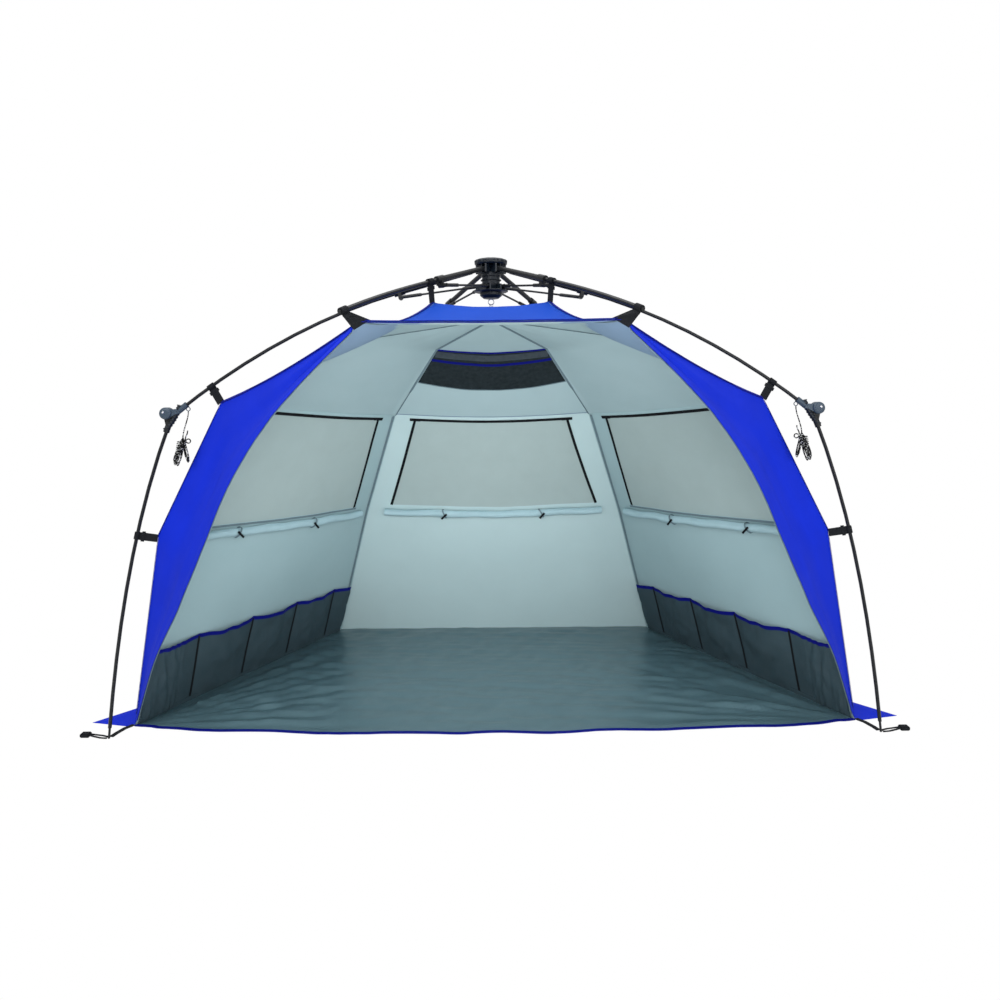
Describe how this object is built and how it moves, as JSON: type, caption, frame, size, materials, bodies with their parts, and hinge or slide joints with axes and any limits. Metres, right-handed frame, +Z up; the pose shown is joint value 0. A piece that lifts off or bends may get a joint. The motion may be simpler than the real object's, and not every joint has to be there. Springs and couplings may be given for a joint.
{
  "type": "beach tent",
  "caption": "Open-front instant beach tent: a folding umbrella frame with jointed legs outside a faceted fabric canopy with floor, mesh windows, pockets and guy lines.",
  "frame": {"origin": "centre of the floor sheet's underside, on the ground", "axes": "+Z up, +Y towards the tent's closed back wall, +X to the right as seen from the open front"},
  "size_m": [2.623, 1.8115, 1.5034],
  "materials": {
    "hub_plastic": "moulded black, satin",
    "elbow_plastic": "moulded dark blue-grey, satin",
    "pole": "black coated glass fibre",
    "ring_metal": "plain steel",
    "webbing": "woven black tape",
    "blue_cloth": "royal blue coated polyester, light grey inside",
    "roof_cloth": "bright blue coated polyester",
    "window_mesh": "fine grey mesh",
    "vent_mesh": "fine black mesh",
    "floor_sheet": "slate grey woven sheet with a slight sheen",
    "pocket_cloth": "charcoal mesh cloth",
    "cover_cloth": "light blue-grey cloth",
    "cord": "braided black cord"
  },
  "bodies": {
    "canopy_and_hub": {"upper_hub": "hub_plastic", "hub_cap": "hub_plastic", "roof": "roof_cloth", "roof_vent": "vent_mesh", "side_wall_left": "blue_cloth", "side_wall_right": "blue_cloth", "rear_wall": "blue_cloth", "window_left": "window_mesh", "window_right": "window_mesh", "window_rear": "window_mesh", "door_wing_left": "blue_cloth", "door_wing_right": "blue_cloth", "floor": "floor_sheet", "pocket_band_left": "pocket_cloth", "pocket_band_right": "pocket_cloth", "cover_roll_left": "cover_cloth", "cover_roll_right": "cover_cloth", "cover_roll_rear": "cover_cloth", "foot_tape_side_left": "webbing", "foot_tape_side_right": "webbing", "foot_tape_rear_left": "webbing", "foot_tape_rear_right": "webbing"},
    "runner": {"runner": "hub_plastic", "peak_ring": "ring_metal"},
    "arm_side_right": {"upper_pole_side_right": "pole", "elbow_side_right": "elbow_plastic", "upper_strap_side_right": "webbing", "guy_line_right": "cord", "guy_hank_right": "cord"},
    "arm_rear_right": {"upper_pole_rear_right": "pole", "elbow_rear_right": "elbow_plastic", "upper_strap_rear_right": "webbing"},
    "arm_rear_left": {"upper_pole_rear_left": "pole", "elbow_rear_left": "elbow_plastic", "upper_strap_rear_left": "webbing"},
    "arm_side_left": {"upper_pole_side_left": "pole", "elbow_side_left": "elbow_plastic", "upper_strap_side_left": "webbing", "guy_line_left": "cord", "guy_hank_left": "cord"},
    "arm_front_left": {"upper_pole_front_left": "pole", "rib_strap_front_left": "webbing", "beam_strap_front_left": "webbing"},
    "arm_front_right": {"upper_pole_front_right": "pole", "rib_strap_front_right": "webbing", "beam_strap_front_right": "webbing"},
    "strut_side_right": {"strut_side_right": "pole"},
    "strut_rear_right": {"strut_rear_right": "pole"},
    "strut_rear_left": {"strut_rear_left": "pole"},
    "strut_side_left": {"strut_side_left": "pole"},
    "strut_front_left": {"strut_front_left": "pole"},
    "strut_front_right": {"strut_front_right": "pole"},
    "leg_side_right": {"lower_leg_side_right": "pole", "lower_strap_side_right": "webbing"},
    "leg_rear_right": {"lower_leg_rear_right": "pole", "lower_strap_rear_right": "webbing"},
    "leg_rear_left": {"lower_leg_rear_left": "pole", "lower_strap_rear_left": "webbing"},
    "leg_side_left": {"lower_leg_side_left": "pole", "lower_strap_side_left": "webbing"}
  },
  "joints": [
    {"name": "frame_fold", "type": "hinge", "parent": "canopy_and_hub", "child": "arm_side_right", "pos_m": [0.044, -0.59, 1.47], "axis": [0, 1, 0], "range_deg": [0, 38], "deforming": ["roof", "roof_vent", "side_wall_left", "side_wall_right", "rear_wall", "window_left", "window_right", "window_rear", "door_wing_left", "door_wing_right", "floor", "pocket_band_left", "pocket_band_right", "cover_roll_left", "cover_roll_right", "cover_roll_rear", "foot_tape_side_left", "foot_tape_side_right", "foot_tape_rear_left", "foot_tape_rear_right"]},
    {"name": "fold_rear_right", "type": "hinge", "parent": "canopy_and_hub", "child": "arm_rear_right", "pos_m": [0.022, -0.5519, 1.47], "axis": [-0.866, 0.5, 0], "range_deg": [0, 38.01]},
    {"name": "fold_rear_left", "type": "hinge", "parent": "canopy_and_hub", "child": "arm_rear_left", "pos_m": [-0.022, -0.5519, 1.47], "axis": [-0.866, -0.5, 0], "range_deg": [0, 38.01]},
    {"name": "fold_side_left", "type": "hinge", "parent": "canopy_and_hub", "child": "arm_side_left", "pos_m": [-0.044, -0.59, 1.47], "axis": [0, -1, 0], "range_deg": [0, 38.01]},
    {"name": "fold_front_left", "type": "hinge", "parent": "canopy_and_hub", "child": "arm_front_left", "pos_m": [-0.022, -0.62811, 1.47], "axis": [0.866, -0.5, 0], "range_deg": [0, 38.01]},
    {"name": "fold_front_right", "type": "hinge", "parent": "canopy_and_hub", "child": "arm_front_right", "pos_m": [0.022, -0.62811, 1.47], "axis": [0.866, 0.5, 0], "range_deg": [0, 38.01]},
    {"name": "runner_slide", "type": "slide", "parent": "canopy_and_hub", "child": "runner", "axis": [0, 0, -1], "range_m": [0, 0.36436]},
    {"name": "strut_turn_side_right", "type": "hinge", "parent": "runner", "child": "strut_side_right", "pos_m": [0.04, -0.5736, 1.416], "axis": [0, -1, 0], "range_deg": [0, 62.47]},
    {"name": "strut_turn_rear_right", "type": "hinge", "parent": "runner", "child": "strut_rear_right", "pos_m": [0.0058, -0.54716, 1.416], "axis": [0.866, -0.5, 0], "range_deg": [0, 62.47]},
    {"name": "strut_turn_rear_left", "type": "hinge", "parent": "runner", "child": "strut_rear_left", "pos_m": [-0.0342, -0.56356, 1.416], "axis": [0.866, 0.5, 0], "range_deg": [0, 62.47]},
    {"name": "strut_turn_side_left", "type": "hinge", "parent": "runner", "child": "strut_side_left", "pos_m": [-0.04, -0.6064, 1.416], "axis": [0, 1, 0], "range_deg": [0, 62.47]},
    {"name": "strut_turn_front_left", "type": "hinge", "parent": "runner", "child": "strut_front_left", "pos_m": [-0.0058, -0.63284, 1.416], "axis": [-0.866, 0.5, 0], "range_deg": [0, 62.47]},
    {"name": "strut_turn_front_right", "type": "hinge", "parent": "runner", "child": "strut_front_right", "pos_m": [0.0342, -0.61644, 1.416], "axis": [-0.866, -0.5, 0], "range_deg": [0, 62.47]},
    {"name": "elbow_side_right", "type": "hinge", "parent": "arm_side_right", "child": "leg_side_right", "pos_m": [1.02476, -0.59, 1.02462], "axis": [0, -1, 0], "range_deg": [0, 200]},
    {"name": "elbow_rear_right", "type": "hinge", "parent": "arm_rear_right", "child": "leg_rear_right", "pos_m": [0.51604, 0.30381, 1.00845], "axis": [0.866, -0.5, 0], "range_deg": [0, 200]},
    {"name": "elbow_rear_left", "type": "hinge", "parent": "arm_rear_left", "child": "leg_rear_left", "pos_m": [-0.51604, 0.30381, 1.00845], "axis": [0.866, 0.5, 0], "range_deg": [0, 200]},
    {"name": "elbow_side_left", "type": "hinge", "parent": "arm_side_left", "child": "leg_side_left", "pos_m": [-1.02476, -0.59, 1.02462], "axis": [0, 1, 0], "range_deg": [0, 200]}
  ],
  "couplings": [
    {"joint": "fold_rear_right", "follows": "frame_fold", "ratio": 1},
    {"joint": "fold_rear_left", "follows": "frame_fold", "ratio": 1},
    {"joint": "fold_side_left", "follows": "frame_fold", "ratio": 1},
    {"joint": "fold_front_left", "follows": "frame_fold", "ratio": 1},
    {"joint": "fold_front_right", "follows": "frame_fold", "ratio": 1},
    {"joint": "runner_slide", "follows": "frame_fold", "m_per_rad": 0.54922},
    {"joint": "strut_turn_side_right", "follows": "frame_fold", "ratio": 1.6433},
    {"joint": "strut_turn_rear_right", "follows": "frame_fold", "ratio": 1.6433},
    {"joint": "strut_turn_rear_left", "follows": "frame_fold", "ratio": 1.6433},
    {"joint": "strut_turn_side_left", "follows": "frame_fold", "ratio": 1.6433},
    {"joint": "strut_turn_front_left", "follows": "frame_fold", "ratio": 1.6433},
    {"joint": "strut_turn_front_right", "follows": "frame_fold", "ratio": 1.6433}
  ]
}
